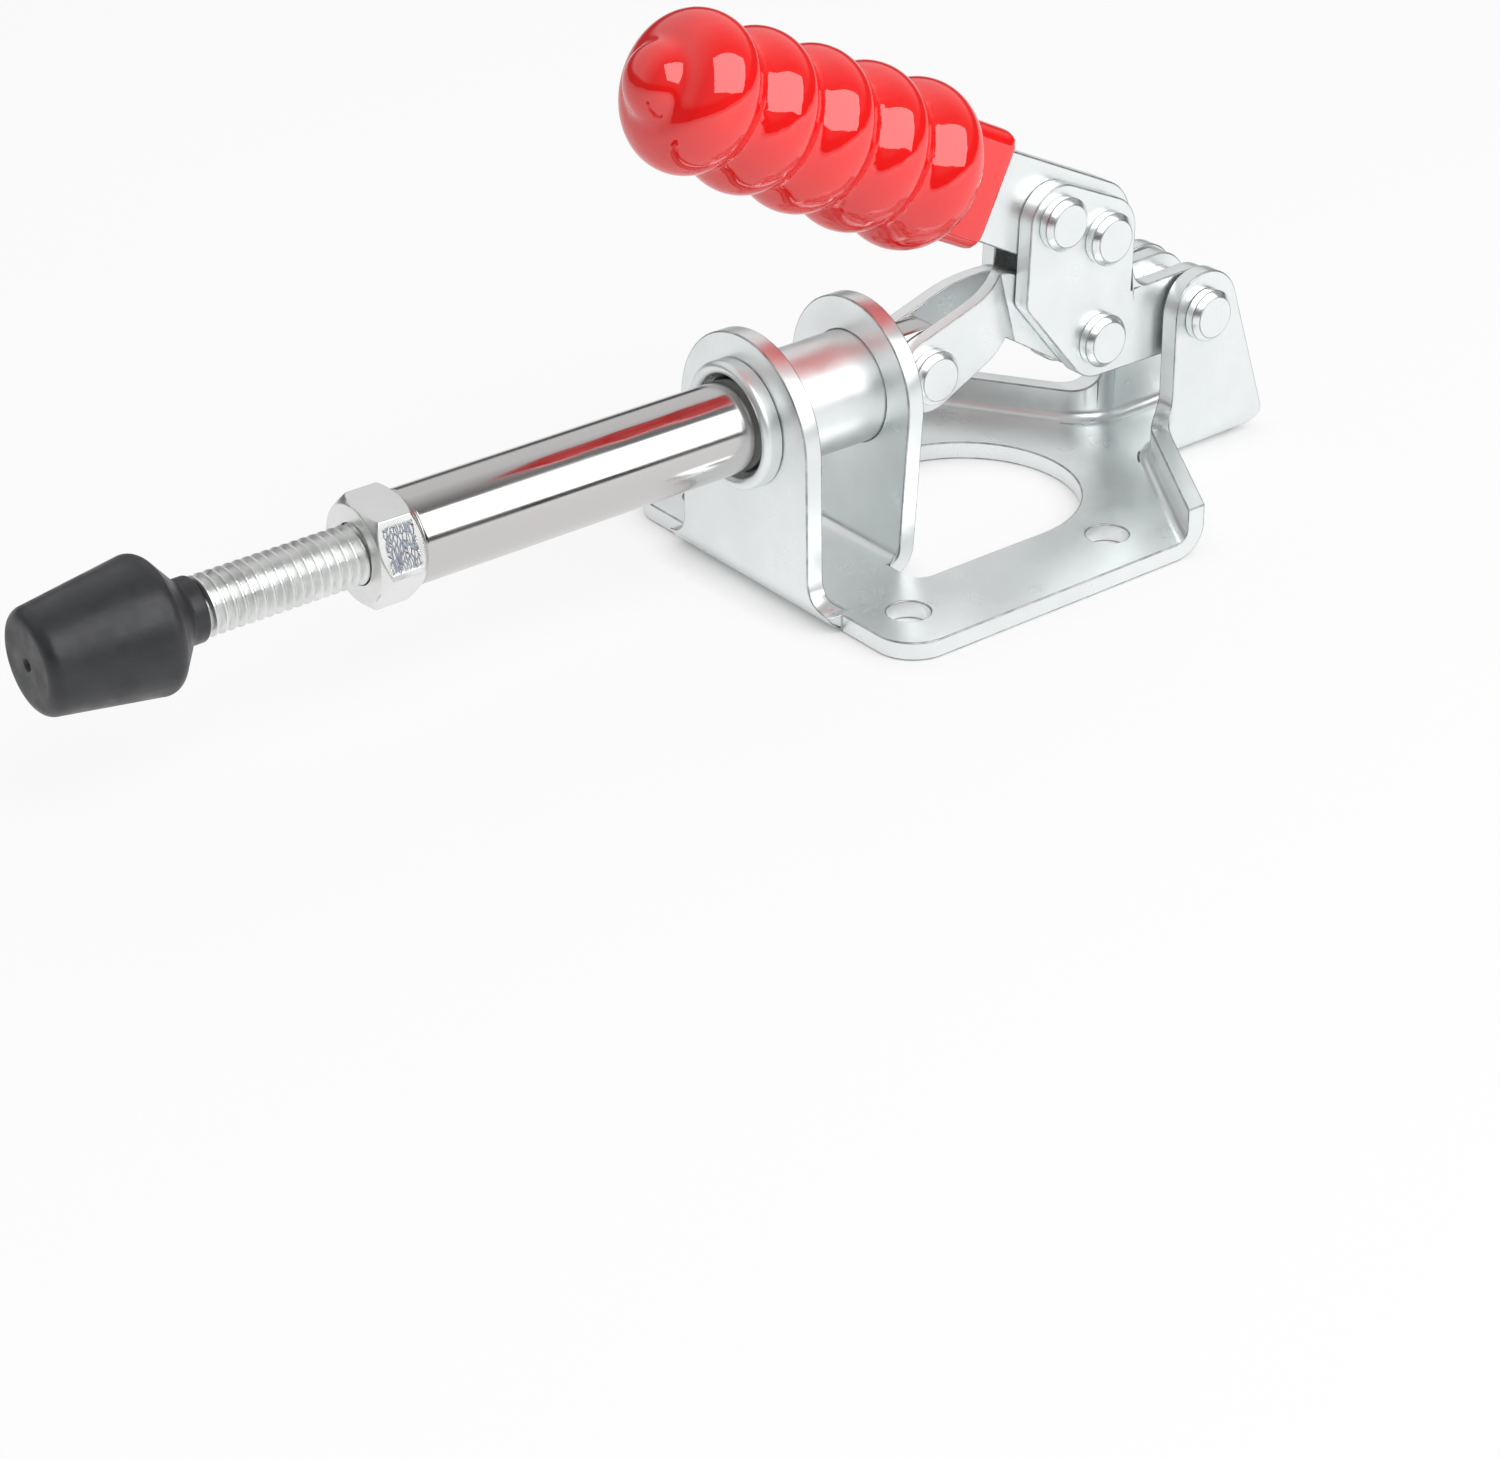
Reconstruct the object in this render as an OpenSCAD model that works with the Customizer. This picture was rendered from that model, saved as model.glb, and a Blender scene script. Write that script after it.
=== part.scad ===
// Push-pull toggle clamp with a straight-line plunger, in millimetres.
// The origin is the centre of the four mounting holes on the underside of the base.
// +Z is up, and the plunger lies along X with its rubber cap towards -X.

/* [Base sheet] */
// Thickness of the base sheet
sheet_t = 2; // [1.6:0.1:2.4]
// Inside radius of the bends
bend_r = 1.2; // [0.8:0.1:1.6]
// Width over the two wings
base_w = 47; // [44:0.5:54]
// Radius of the wings' front corners
wing_corner_r = 4.5; // [2:0.5:6]
// Setback of the wings behind the front upright's face
wing_setback = 2; // [1:0.5:3]
// Length of the ears' channel behind the rear holes
channel_l = 33.5; // [31:0.5:40]

/* [Mounting holes] */
// Diameter of the mounting holes
hole_d = 4.5; // [3.4:0.1:5.2]
// Spacing of the mounting holes along the plunger
hole_pitch_x = 27; // [26:0.5:29]
// Spacing of the mounting holes across the base
hole_pitch_y = 34; // [33:0.5:36]
// Distance of the front holes behind the front upright's face
hole_setback = 7.6; // [7:0.1:9]

/* [Window] */
// Width of the window in the base
window_w = 25; // [22:0.5:26]
// Distance of the window's front edge behind the front upright's face
window_front = 12.5; // [11.5:0.1:12.8]
// Radius of the window's front corners
window_corner_r = 2; // [1:0.5:3]

/* [Uprights] */
// Height of the plunger's axis above the underside
axis_h = 19; // [18:0.5:22]
// Width of the front upright
upright_w = 20.6; // [18:0.2:22]
// Drop of the front upright's round top below the plunger's axis
upright_drop = 1; // [0:0.1:1.5]
// Radius of the flare from the front upright's sides into the wings
flare_r = 3; // [2:0.5:4]
// Distance between the front faces of the two uprights
upright_pitch = 13.8; // [13.4:0.1:16]
// Width of the rear upright across its round top
rear_upright_w = 19; // [17:0.2:22]
// Width of the rear upright at its root
rear_root_w = 15.6; // [13:0.2:17]

/* [Ears and flanges] */
// Clear width between the ears
ear_gap = 7.9; // [7.5:0.1:9]
// Radius of the ears' round tops
ear_r = 4.8; // [4:0.1:5.5]
// Height of the flanges above the underside
flange_h = 5.5; // [4.5:0.1:7]
// Inside radius of the sweep from each ear into its flange
sweep_r = 7.5; // [7:0.5:10]
// Turn of that sweep
sweep_turn = 58; // [50:1:70]
// Distance of the sweep's centre in front of the ears' pivot
sweep_lead = 2.2; // [0:0.1:3]
// Radius of the ears' lower rear corners
ear_corner_r = 2.5; // [1.5:0.1:3]
// Radius between each flange's top and its ear's front edge
flange_fillet_r = 3; // [1:0.5:4]

/* [Guide sleeve] */
// Outside diameter of the sleeve
sleeve_d = 11.8; // [11.5:0.1:12.4]
// Outside diameter of the rolled lip
lip_d = 13.4; // [13:0.1:14.5]
// Length of the lip in front of the front upright
lip_l = 2; // [1.6:0.1:2.6]
// Diameter of the flared mouth
mouth_d = 10.8; // [10.2:0.1:11.2]
// Distance from the mouth's end to the front upright's face
mouth_end = 0.3; // [0:0.1:0.6]

/* [Plunger] */
// Diameter of the plunger
plunger_d = 9.5; // [8.5:0.1:9.8]
// Length of the plunger in front of the front upright's face
plunger_reach = 40.6; // [36:0.2:46]
// Thickness of the flat tang
tang_t = 3.6; // [3:0.1:4]
// Distance from the tang's shoulder to its pivot
tang_l = 5.4; // [5:0.1:6]
// Depth of the plunger's tapped hole
tapped_depth = 28; // [24:1:34]

/* [Spindle, nut and cap] */
// Outside diameter of the spindle's thread
thread_d = 6; // [5:0.5:6]
// Length of the spindle between the plunger's end and the cap
spindle_out = 21.9; // [17:0.5:24]
// Length of the spindle inside the plunger
spindle_in = 13; // [10:0.5:16]
// Length of the spindle's stud inside the cap
stud_l = 9; // [6:0.5:10]
// Diameter of that stud
stud_d = 4.8; // [4:0.1:5]
// Width of the lock nut across its flats
nut_af = 10; // [9:0.5:11]
// Thickness of the lock nut
nut_t = 5; // [4:0.1:6]
// Turn of the lock nut's first corner from the horizontal
nut_turn = 50; // [0:1:59]
// Slope of the lock nut's chamfers
nut_slope = 40; // [20:1:45]
// Length of the rubber cap
cap_l = 16.8; // [15:0.1:20]
// Diameter of the cap's rim
cap_d = 13.4; // [12:0.2:16]
// Diameter of the cap's front face
cap_face_d = 10.4; // [9:0.2:11.6]
// Distance from the cap's end to the middle of its rim
cap_rim_lead = 5.2; // [4.5:0.1:6]
// Length of the cap's neck
cap_neck_l = 1.7; // [1:0.1:2.5]
// Radius of the cap's front edge
cap_edge_r = 1.4; // [0.8:0.1:2]
// Radius of the cap's rim
cap_rim_r = 1.5; // [0.8:0.1:2]
// Diameter of the cap's neck
cap_neck_d = 6.4; // [6.2:0.1:8]

/* [Linkage] */
// Distance of the ears' pivot behind the front upright's face
pivot_setback = 58.4; // [57:0.1:62]
// Drop of the ears' pivot below the plunger's axis
pivot_drop = 2.3; // [1.5:0.1:3]
// Distance between the ears' pivot and the link's rear pivot
crank_l = 13.3; // [12.5:0.1:14]
// Distance between the link's two pivots
link_l = 23.4; // [23:0.1:25]
// Thickness of each link plate
link_t = 1.6; // [1.2:0.1:1.6]
// Radius of the link's front end
link_front_r = 4.1; // [3.8:0.1:4.5]
// Radius of the link's rear end
link_rear_r = 4; // [3.6:0.1:4.2]
// Radius of the link's knee
link_knee_r = 3.2; // [2.5:0.1:3.4]
// Height of the link's knee above the line between its pivots
link_knee_rise = 5.5; // [4:0.1:5.6]
// Distance from the front pivot to the start of the link's joggle
joggle_lead = 6.1; // [5:0.1:7]
// Length of the link's joggle
joggle_l = 5.6; // [4:0.1:6]
// Lean of the joggle's crease towards the plunger
joggle_lean = 15; // [0:1:18]
// Thickness of each cheek plate
cheek_t = 2; // [1.5:0.1:2.4]
// Radius of the cheek's front end
cheek_front_r = 4; // [3.6:0.1:4.4]
// Radius of the cheek over the rear rivet and over the link's pivot
cheek_rear_r = 4.3; // [3.8:0.1:4.6]
// Radius of the cheek's arm round the ears' pivot
cheek_arm_r = 4.5; // [4:0.1:4.8]
// Radius between the cheek's arm and its body
cheek_fillet_r = 2.5; // [1.5:0.1:3]
// Distance of the cheek's knee in front of the link's pivot
cheek_knee_lead = 8.7; // [8:0.1:9.2]
// Height of the cheek's knee above the link's pivot
cheek_knee_rise = 6.7; // [6:0.1:7.4]
// Radius of the cheek's knee
cheek_knee_r = 1.8; // [1.4:0.1:2.2]
// Side clearance between moving plates
side_gap = 0.2; // [0.1:0.05:0.3]

/* [Handle] */
// Slope of the handle at rest
handle_slope = 27; // [20:1:30]
// Height of the handle bar
bar_h = 10.4; // [9.5:0.1:11]
// Distance between the handle's two rivets
rivet_pitch = 7.3; // [6.5:0.1:8]
// Rear handle rivet in front of the ears' pivot
bar_rivet_lead = 12.9; // [12:0.1:14]
// Rear handle rivet above the ears' pivot
bar_rivet_rise = 11.4; // [10.5:0.1:12]
// Distance from the rear handle rivet to the grip
grip_lead = 16.2; // [15:0.1:18]
// Distance from the rear handle rivet to the middle of the first bulge
bulge_lead = 27.3; // [26:0.1:29]
// Distance between the grip's bulges
bulge_pitch = 7.5; // [7:0.1:8]
// Number of the grip's bulges in front of its nose
bulge_count = 5; // [4:1:5]
// Radius of each bulge's outline
bulge_r = 4.5; // [4.3:0.1:5]
// Diameter of the first bulge
grip_d = 17.6; // [16:0.2:18]
// Fall of the diameter from each bulge to the next
grip_taper = 0.4; // [0:0.05:0.5]
// Radius of the grip's round nose
nose_r = 4.3; // [4.1:0.1:4.5]
// Distance from the last bulge to the middle of the nose
nose_lead = 3; // [2.5:0.1:4]
// Offset of the grip's axis above the handle's rivets
grip_offset = 0.6; // [0:0.1:1]
// Wall of the grip's flat collar
collar_wall = 1.2; // [0.8:0.1:1.5]
// Radius of the collar's long edges
collar_edge_r = 1.8; // [1:0.1:2]

/* [Rivets] */
// Diameter of the rivets' shanks
rivet_d = 4; // [3:0.1:4.4]
// Diameter of the rivets' heads
rivet_head_d = 5.8; // [5.2:0.1:6.4]
// Height of the rivets' heads
rivet_head_h = 1.6; // [1:0.1:2]
// Bevel of the rivets' heads
rivet_bevel = 0.6; // [0.3:0.1:0.8]

/* [Clearances] */
// Radial clearance of a turning or sliding fit
run_gap = 0.06; // [0.04:0.01:0.1]
// Gap under the heads of the rivet through the ears
head_seat = 0.05; // [0:0.01:0.1]
// Radial clearance of a fixed fit
fixed_gap = 0.02; // [0.01:0.01:0.04]

/* [Hidden] */
$fn = 96;
eps = 0.01;
bend_o = bend_r + sheet_t;

// Stations along the plunger
front_x = -(hole_setback + hole_pitch_x / 2);
rear_plate_x = front_x + upright_pitch;
rear_x = hole_pitch_x / 2 + channel_l;
sleeve_end_x = rear_plate_x + sheet_t;
plunger_end_x = front_x - plunger_reach;
cap_neck_x = plunger_end_x - spindle_out;
cap_tip_x = cap_neck_x - cap_l;
cap_rim_x = cap_neck_x - cap_rim_lead;

// Pivots, as points in the XZ plane
pivot_base = [front_x + pivot_setback, axis_h - pivot_drop];
pivot_link = pivot_base - [crank_l, 0];
pivot_plunger = [pivot_link.x - sqrt(pow(link_l, 2) - pow(pivot_drop, 2)), axis_h];
handle_dir = [-cos(handle_slope), sin(handle_slope)];
handle_up = [sin(handle_slope), cos(handle_slope)];
bar_rear = pivot_base + [-bar_rivet_lead, bar_rivet_rise];
bar_front = bar_rear + rivet_pitch * handle_dir;

// Layers across the linkage
link_in = tang_t / 2 + side_gap / 4;
link_joggle = link_in - side_gap / 8;
link_out = link_in + link_t;
bar_t = 2 * (link_t + side_gap / 2);
cheek_in = bar_t / 2;
cheek_out = cheek_in + cheek_t;
ear_in = ear_gap / 2;
ear_out = ear_in + sheet_t;
link_dir = (pivot_plunger - pivot_link) / link_l;
link_up = [-link_dir.y, link_dir.x];
link_knee = pivot_link + 0.54 * link_l * link_dir - link_knee_rise * link_up;
cheek_knee = pivot_link + [-cheek_knee_lead, cheek_knee_rise];

// Handle stations, measured from the rear rivet towards the grip's end
last_bulge = bulge_lead + (bulge_count - 1) * bulge_pitch;
nose_at = last_bulge + nose_lead;
bar_end = last_bulge - bulge_r;

function turned(a) = [cos(a), sin(a)];

// Corners of the body between two discs of radii ra and rb, just inside their tangents
function tangents(a, ra, b, rb) =
    let (d = b - a, toward = atan2(d.y, d.x), spread = acos((ra - rb) / norm(d)))
    [a + (ra - eps) * turned(toward + spread), b + (rb - eps) * turned(toward + spread),
     b + (rb - eps) * turned(toward - spread), a + (ra - eps) * turned(toward - spread)];

// Two discs joined by their outer tangents
module strap(a, ra, b, rb) {
    translate(a) circle(ra);
    translate(b) circle(rb);
    polygon(tangents(a, ra, b, rb));
}

// The same strap as a plate in the XZ plane, from y0 to y1
module strap_plate(a, ra, b, rb, y0, y1) {
    cross_pin(a, ra, y0, y1);
    cross_pin(b, rb, y0, y1);
    side_plate(y0, y1) polygon(tangents(a, ra, b, rb));
}

// Material that fills an inside corner whose sides run along +x and +y
module corner_fillet(r) {
    difference() {
        translate([-eps, -eps]) square(r + eps);
        translate([r, r]) circle(r);
    }
}

// Plate drawn in the XZ plane, from y0 to y1
module side_plate(y0, y1) {
    translate([0, y1, 0]) rotate([90, 0, 0]) linear_extrude(y1 - y0) children();
}

// Plate drawn in the YZ plane, from x0 to x1
module cross_plate(x0, x1) {
    translate([x0, 0, 0]) rotate([90, 0, 90]) linear_extrude(x1 - x0) children();
}

// Cylinder along Y through a point of the XZ plane
module cross_pin(p, r, y0, y1) {
    translate([p.x, y1, p.y]) rotate([90, 0, 0]) cylinder(r = r, h = y1 - y0);
}

// Profile of radius against length, turned round the plunger's axis
module turned_along_x() {
    translate([0, 0, axis_h]) rotate([0, 90, 0]) rotate_extrude() children();
}

// Quarter ring of bent sheet, from straight down to straight towards -x
module bend_ring() {
    intersection() {
        difference() {
            circle(bend_o);
            circle(bend_r);
        }
        translate([-bend_o, -bend_o]) square(bend_o);
    }
}

// Section of an upright wall that ends in that bend
module wall_section() {
    bend_ring();
    translate([-bend_o, 0]) square([sheet_t, 2 * axis_h]);
}

// Everything outside the wall on the +Y side, whose inner face is moved in by shift
module beyond_wall(shift) {
    far = 2 * base_w;
    translate([pivot_base.x - sweep_lead, ear_in + sweep_r]) {
        circle(sweep_r + shift);
        rotate(270 - sweep_turn) translate([sweep_r + shift - far, -far]) square(far);
        translate([0, -sweep_r - shift]) square(far);
    }
}

module both_sides() {
    children();
    mirror([0, 1, 0]) children();
}

// Plan of the flat floor, between the bends and with its openings
module floor_plan() {
    half_w = base_w / 2;
    wing_x = front_x + wing_setback;
    shoulder = upright_w / 2 + flare_r;
    window_r = window_w / 2;
    window_x = front_x + window_front;
    window_l = rear_upright_top() - window_r - window_x;
    difference() {
        union() {
            translate([wing_x + wing_corner_r, -half_w])
                square([rear_x - ear_corner_r - wing_x - wing_corner_r, base_w]);
            both_sides() {
                translate([wing_x, shoulder])
                    square([2 * wing_corner_r, half_w - shoulder - wing_corner_r]);
                translate([wing_x + wing_corner_r, half_w - wing_corner_r]) circle(wing_corner_r);
            }
            translate([front_x + bend_o, -shoulder - eps])
                square([2 * wing_corner_r, 2 * (shoulder + eps)]);
        }
        translate([wing_x, -shoulder])
            square([bend_o - wing_setback, 2 * shoulder]);
        both_sides() beyond_wall(bend_r);
        difference() {
            union() {
                translate([window_x + window_corner_r, -window_r])
                    square([window_l - window_corner_r, window_w]);
                translate([window_x, window_corner_r - window_r])
                    square([window_l, window_w - 2 * window_corner_r]);
                both_sides()
                    translate([window_x + window_corner_r, window_r - window_corner_r])
                        circle(window_corner_r);
                translate([window_x + window_l, 0]) circle(window_r);
            }
            translate([window_x - eps, -rear_root_w / 2])
                square([rear_plate_x - bend_r - window_x + eps, rear_root_w]);
        }
        for (x = [-1, 1], y = [-1, 1])
            translate([x * hole_pitch_x / 2, y * hole_pitch_y / 2]) circle(d = hole_d);
    }
}

// The rear upright is cut from the window, so the window ends where its top was
function rear_upright_top() =
    rear_plate_x + axis_h + rear_upright_w / 2 - bend_r + 1;

// Outline of the front upright, seen along the plunger
module front_upright_outline() {
    translate([0, axis_h - upright_drop]) circle(d = upright_w);
    translate([-upright_w / 2, 0]) square([upright_w, axis_h - upright_drop]);
    both_sides_2d() translate([upright_w / 2, sheet_t]) corner_fillet(flare_r);
    translate([-upright_w / 2 - flare_r, 0]) square([upright_w + 2 * flare_r, sheet_t]);
}

module both_sides_2d() {
    children();
    mirror([1, 0]) children();
}

// Outline of the rear upright, which tapers from its round top to its root
module rear_upright_outline() {
    r = rear_upright_w / 2;
    root = [rear_root_w / 2, 0];
    centre = [0, axis_h];
    reach = root - centre;
    lean = atan2(reach.y, reach.x) + acos(r / norm(reach));
    side = centre + r * turned(lean);
    translate(centre) circle(r);
    polygon([root, side, centre, [-side.x, side.y], [-root.x, root.y]]);
}

// Outline of one wall, seen from the side: the flange in front and the ear behind
module wall_outline() {
    ear_front = pivot_base.x - ear_r;
    heel = [rear_x - ear_corner_r, ear_corner_r];
    translate([front_x, 0]) square([ear_front - front_x + eps, flange_h]);
    translate([ear_front, flange_h]) mirror([1, 0]) corner_fillet(flange_fillet_r);
    strap(pivot_base, ear_r, heel, ear_corner_r);
    polygon([[ear_front, 0], [ear_front, pivot_base.y], pivot_base, heel, [heel.x, 0]]);
}

// Wall with its bend: beside the ear, round the sweep in two overlapping turns,
// and along the flange
module swept_wall() {
    far = 2 * base_w;
    ear_l = rear_x - pivot_base.x + sweep_lead;
    half_turn = round(0.6 * sweep_turn);
    translate([pivot_base.x - sweep_lead, ear_in + sweep_r, 0]) {
        rotate([90, 0, 90]) linear_extrude(ear_l)
            translate([-sweep_r - bend_r, bend_o]) mirror([1, 0]) wall_section();
        rotate_extrude(angle = half_turn, start = 270 - half_turn)
            translate([sweep_r + bend_r, bend_o]) wall_section();
        rotate([0, 0, 270 - sweep_turn]) {
            rotate_extrude(angle = half_turn)
                translate([sweep_r + bend_r, bend_o]) wall_section();
            rotate([90, 0, 0]) linear_extrude(far)
                translate([sweep_r + bend_r, bend_o]) wall_section();
        }
    }
}

// One ear with its flange, cut to the outline seen from the side
module wall() {
    intersection() {
        swept_wall();
        side_plate(0, base_w / 2) wall_outline();
    }
}

module base() {
    color("gainsboro") difference() {
        union() {
            linear_extrude(sheet_t) floor_plan();
            both_sides() wall();
            cross_plate(front_x, front_x + sheet_t) intersection() {
                front_upright_outline();
                translate([-base_w, bend_o]) square(2 * base_w);
            }
            intersection() {
                side_plate(-base_w / 2, base_w / 2)
                    translate([front_x + bend_o, bend_o]) bend_ring();
                cross_plate(front_x, front_x + bend_o) front_upright_outline();
            }
            cross_plate(rear_plate_x, rear_plate_x + sheet_t) intersection() {
                rear_upright_outline();
                translate([-base_w, bend_o]) square(2 * base_w);
            }
            intersection() {
                side_plate(-base_w / 2, base_w / 2)
                    translate([rear_plate_x - bend_r, bend_o]) mirror([1, 0]) bend_ring();
                cross_plate(rear_plate_x - bend_r, rear_plate_x + sheet_t)
                    rear_upright_outline();
            }
        }
        translate([front_x - 1, 0, axis_h]) rotate([0, 90, 0])
            cylinder(d = sleeve_d + 2 * fixed_gap, h = upright_pitch + sheet_t + 2);
        cross_pin(pivot_base, rivet_d / 2 + fixed_gap, -base_w / 2, base_w / 2);
    }
}

// Tube through both uprights, with a rolled lip and a flared mouth
module guide_sleeve() {
    bore_r = plunger_d / 2 + run_gap;
    bead_r = (lip_d - mouth_d) / 4;
    bead_mid = (lip_d + mouth_d) / 4;
    color("gainsboro") turned_along_x() {
        translate([bead_mid, front_x - lip_l + bead_r]) circle(bead_r);
        polygon([[bead_mid - bead_r, front_x - lip_l + bead_r],
                 [bead_mid + bead_r, front_x - lip_l + bead_r],
                 [lip_d / 2, front_x], [sleeve_d / 2, front_x],
                 [sleeve_d / 2, sleeve_end_x], [bore_r, sleeve_end_x],
                 [bore_r, front_x - mouth_end]]);
    }
}

// Chromed rod, tapped in front and flattened to a tang behind
module plunger() {
    r = plunger_d / 2;
    bevel = 0.4;
    shoulder_x = pivot_plunger.x - tang_l;
    tang_end = pivot_plunger.x + r;
    color("silver") difference() {
        union() {
            turned_along_x() polygon([[0, plunger_end_x], [r - bevel, plunger_end_x],
                [r, plunger_end_x + bevel], [r, shoulder_x], [0, shoulder_x]]);
            intersection() {
                translate([shoulder_x - eps, 0, axis_h]) rotate([0, 90, 0])
                    cylinder(r = r, h = tang_end - shoulder_x + 1);
                side_plate(-tang_t / 2, tang_t / 2) {
                    translate([shoulder_x - eps, axis_h - r])
                        square([pivot_plunger.x - shoulder_x, plunger_d]);
                    translate(pivot_plunger) circle(r);
                }
            }
        }
        translate([plunger_end_x - 1, 0, axis_h]) rotate([0, 90, 0])
            cylinder(d = thread_d + 2 * run_gap, h = tapped_depth + 1);
        cross_pin(pivot_plunger, rivet_d / 2 + run_gap, -tang_t, tang_t);
    }
}

// Threaded stud; its thread is drawn at its outside diameter
module spindle() {
    r = thread_d / 2;
    bevel = 0.5;
    head = cap_neck_x - stud_l;
    tail = plunger_end_x + spindle_in;
    color("gainsboro") turned_along_x()
        polygon([[0, head], [stud_d / 2, head], [stud_d / 2, cap_neck_x], [r, cap_neck_x],
            [r, tail - bevel], [r - bevel, tail], [0, tail]]);
}

// Hexagon nut, chamfered on both faces
module lock_nut() {
    corner_r = nut_af / 2 / cos(30);
    face_r = nut_af / 2 * 0.97;
    beyond_r = corner_r + 0.5;
    chamfer = (beyond_r - face_r) * tan(nut_slope);
    color("gainsboro") translate([plunger_end_x - nut_t, 0, axis_h]) rotate([0, 90, 0])
        difference() {
            intersection() {
                rotate([0, 0, 90 - nut_turn]) cylinder(r = corner_r, h = nut_t, $fn = 6);
                rotate_extrude() polygon([[0, 0], [face_r, 0], [beyond_r, chamfer],
                    [beyond_r, nut_t - chamfer], [face_r, nut_t], [0, nut_t]]);
            }
            translate([0, 0, -1]) cylinder(d = thread_d + 2 * run_gap, h = nut_t + 2);
        }
}

// Rubber cap: a blunt cone that widens to its rim and closes on the spindle's neck
module rubber_cap() {
    face_r = cap_face_d / 2;
    rim_r = cap_d / 2;
    neck_r = cap_neck_d / 2;
    dimple_r = 0.5;
    seat_r = stud_d / 2 + fixed_gap;
    shoulder_x = cap_neck_x - cap_neck_l;
    rim = [rim_r - cap_rim_r, cap_rim_x];
    edge = [face_r - cap_edge_r, cap_tip_x + cap_edge_r];
    side = tangents(edge, cap_edge_r, rim, cap_rim_r);
    back = tangents(rim, cap_rim_r, [neck_r, shoulder_x], eps);
    color("dimgray") turned_along_x() difference() {
        union() {
            translate(edge) circle(cap_edge_r);
            translate(rim) circle(cap_rim_r);
            polygon([[0, cap_tip_x], [edge.x, cap_tip_x], side[3], side[2], back[3],
                [neck_r, shoulder_x], [neck_r, cap_neck_x], [0, cap_neck_x]]);
        }
        translate([0, cap_tip_x]) circle(dimple_r);
        translate([0, cap_neck_x - stud_l]) square([seat_r, stud_l + 1]);
        translate([-cap_d, cap_tip_x - 1]) square([cap_d, cap_l + 2]);
    }
}

// Block with a link's side view: two round ends joined over a raised knee
module link_block(y0, y1) {
    strap_plate(pivot_plunger, link_front_r, link_knee, link_knee_r, y0, y1);
    strap_plate(link_knee, link_knee_r, pivot_link, link_rear_r, y0, y1);
}

// Plan of a joggled plate on the +Y side: inner face inward, outer face outward
module joggle_plan() {
    steps = 8;
    x0 = pivot_plunger.x + joggle_lead;
    near = pivot_plunger.x - 2 * link_front_r;
    far = pivot_link.x + 2 * link_rear_r;
    low = link_in - link_joggle;
    inner = [for (i = [0 : steps])
        [x0 + joggle_l * i / steps, low + link_joggle * (1 - pow(i / steps, 2))]];
    path = concat([[near, link_in]], inner, [[far, low]]);
    back = [for (i = [len(path) - 1 : -1 : 0]) path[i] + [0, link_t]];
    polygon(concat(path, back));
}

module link_plate() {
    crease_x = pivot_plunger.x + joggle_lead + joggle_l;
    intersection() {
        link_block(0, link_out + 1);
        translate([crease_x, 0, link_knee.y]) rotate([0, -joggle_lean, 0])
            translate([-crease_x, 0, -2 * axis_h]) linear_extrude(4 * axis_h) joggle_plan();
        difference() {
            linear_extrude(3 * axis_h) translate([-base_w, -base_w]) square(3 * base_w);
            cross_pin(pivot_plunger, rivet_d / 2 + fixed_gap, -link_out - 2, link_out + 2);
            cross_pin(pivot_link, rivet_d / 2 + run_gap, -link_out - 2, link_out + 2);
        }
    }
}

module link_near() {
    color("gainsboro") mirror([0, 1, 0]) link_plate();
}

module link_far() {
    color("gainsboro") link_plate();
}

// Body over the handle's rivets, with an arm back to the ears' pivot
module cheek_block(y0, y1) {
    strap_plate(bar_front, cheek_front_r, bar_rear, cheek_rear_r, y0, y1);
    strap_plate(bar_rear, cheek_rear_r, pivot_link, cheek_rear_r, y0, y1);
    strap_plate(bar_front, cheek_front_r, cheek_knee, cheek_knee_r, y0, y1);
    strap_plate(cheek_knee, cheek_knee_r, pivot_link, cheek_rear_r, y0, y1);
    strap_plate(pivot_link, cheek_rear_r, pivot_base, cheek_arm_r, y0, y1);
    side_plate(y0, y1) polygon([bar_front, bar_rear, pivot_link, cheek_knee]);
    side_plate(y0, y1)
        translate([bar_rear.x + cheek_rear_r - 0.1, pivot_base.y + cheek_arm_r - 0.1])
            corner_fillet(cheek_fillet_r);
}

module cheek_plate() {
    difference() {
        cheek_block(cheek_in, cheek_out);
        for (p = [bar_front, bar_rear, pivot_link])
            cross_pin(p, rivet_d / 2 + fixed_gap, cheek_in - 1, cheek_out + 1);
        cross_pin(pivot_base, rivet_d / 2 + run_gap, cheek_in - 1, cheek_out + 1);
    }
}

module cheek_near() {
    color("whitesmoke") mirror([0, 1, 0]) cheek_plate();
}

module cheek_far() {
    color("whitesmoke") cheek_plate();
}

module bar_block() {
    foot = bar_rear + grip_offset / 2 * handle_up;
    strap_plate(foot, bar_h / 2, foot + bar_end * handle_dir, bar_h / 2 - 1,
        -bar_t / 2, bar_t / 2);
}

// Flat bar between the cheeks, round at its rear end, running into the grip
module handle_bar() {
    color("gainsboro") difference() {
        bar_block();
        for (p = [bar_front, bar_rear])
            cross_pin(p, rivet_d / 2 + fixed_gap, -bar_t, bar_t);
    }
}

// Places a body drawn along +Z, from the rear rivet towards the grip's end
module along_handle() {
    foot = bar_rear + grip_offset * handle_up;
    translate([foot.x, 0, foot.y]) rotate([0, handle_slope - 90, 0]) children();
}

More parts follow.
